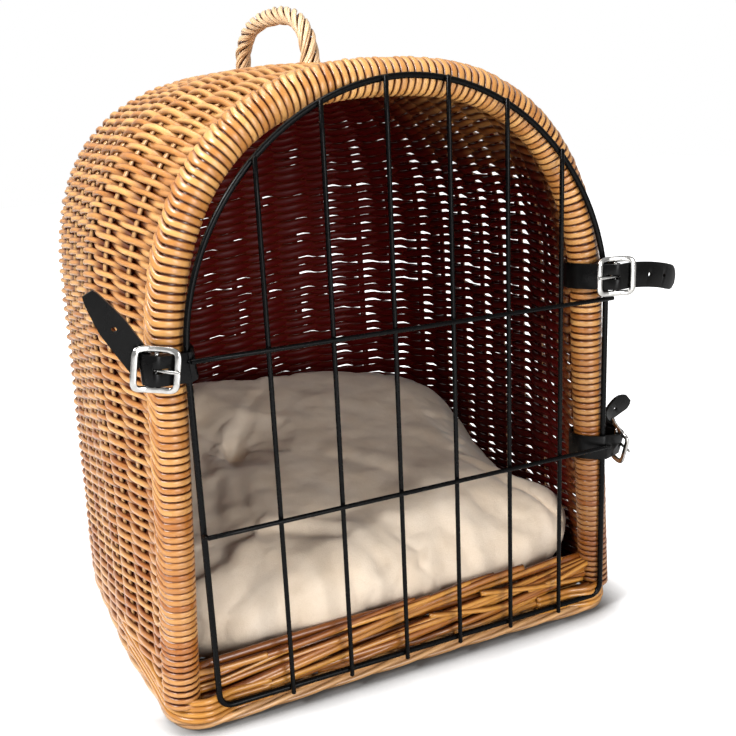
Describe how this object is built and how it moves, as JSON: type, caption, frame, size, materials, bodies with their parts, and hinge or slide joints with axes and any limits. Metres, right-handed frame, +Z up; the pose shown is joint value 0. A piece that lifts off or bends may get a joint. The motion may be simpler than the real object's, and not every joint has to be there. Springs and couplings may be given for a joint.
{
  "type": "wicker pet carrier",
  "caption": "Arched woven willow pet carrier with an open front, a wire grille door on leather straps, a twisted handle on the roof and a padded cushion inside.",
  "frame": {"origin": "middle of the flat underside of the woven base", "axes": "+Z up, +X to the right seen from the door, which is the hinge side, +Y towards the closed back"},
  "size_m": [0.4725, 0.4368, 0.5158],
  "materials": {
    "woven_wall": "peeled willow, woven, satin varnish",
    "border": "split willow lapped over a core, satin varnish",
    "stake": "peeled willow rod, satin",
    "sill": "stout willow rod, glossy varnish",
    "rim": "pale willow rod, satin",
    "floor": "woven willow panel, matt",
    "handle": "twisted willow, satin varnish",
    "wire": "black satin lacquer on steel wire",
    "leather": "black strap leather, smooth",
    "nickel": "polished nickel",
    "cotton": "unbleached cotton, plain weave, matt"
  },
  "bodies": {
    "carrier": {"woven_body": "woven_wall", "front_border_roll": "border", "front_hoop_core": "stake", "stake_hoop_1": "stake", "stake_hoop_2": "stake", "stake_hoop_3": "stake", "stake_hoop_4": "stake", "stake_hoop_5": "stake", "stake_hoop_6": "stake", "back_stake_1": "stake", "back_stake_2": "stake", "back_stake_3": "stake", "back_stake_4": "stake", "back_stake_5": "stake", "back_stake_6": "stake", "back_stake_7": "stake", "back_stake_8": "stake", "back_stake_9": "stake", "back_stake_10": "stake", "back_stake_11": "stake", "back_stake_12": "stake", "back_stake_13": "stake", "back_stake_14": "stake", "back_stake_15": "stake", "back_stake_16": "stake", "back_stake_17": "stake", "handle_core": "stake", "sill_rod_1": "sill", "sill_rod_2": "sill", "sill_rod_3": "sill", "sill_rod_4": "sill", "foot_rim": "rim", "base_floor": "floor", "handle_strand_1": "handle", "handle_strand_2": "handle", "handle_strand_3": "handle", "handle_strand_4": "handle", "handle_strand_5": "handle", "closing_strap": "leather", "closing_buckle": "nickel", "upper_hinge_strap": "leather", "upper_hinge_buckle": "nickel", "lower_hinge_strap": "leather", "lower_hinge_buckle": "nickel", "cushion": "cotton"},
    "door": {"door_frame_wire": "wire", "door_bar_1": "wire", "door_bar_2": "wire", "door_bar_3": "wire", "door_bar_4": "wire", "door_bar_5": "wire", "door_bar_6": "wire", "lower_crossbar": "wire", "upper_crossbar": "wire"},
    "closing_pin": {"closing_prong": "nickel"},
    "upper_hinge_pin": {"upper_hinge_prong": "nickel"},
    "lower_hinge_pin": {"lower_hinge_prong": "nickel"}
  },
  "joints": [
    {"name": "door_swing", "type": "hinge", "parent": "carrier", "child": "door", "pos_m": [0.179, -0.211, 0.15], "axis": [0, 0, 1], "range_deg": [0, 95], "deforming": ["closing_strap", "lower_hinge_strap"]},
    {"name": "closing_prong_lift", "type": "hinge", "parent": "carrier", "child": "closing_pin", "pos_m": [-0.183, -0.2165, 0.274], "axis": [-0.1511, 0.0405, -0.9877], "range_deg": [0, 25]},
    {"name": "upper_hinge_prong_lift", "type": "hinge", "parent": "carrier", "child": "upper_hinge_pin", "pos_m": [0.1785, -0.2225, 0.294], "axis": [0, 0, 1], "range_deg": [0, 25]},
    {"name": "lower_hinge_prong_lift", "type": "hinge", "parent": "carrier", "child": "lower_hinge_pin", "pos_m": [0.195, -0.206, 0.15], "axis": [-0.0651, -0.3689, 0.9272], "range_deg": [0, 25]}
  ]
}
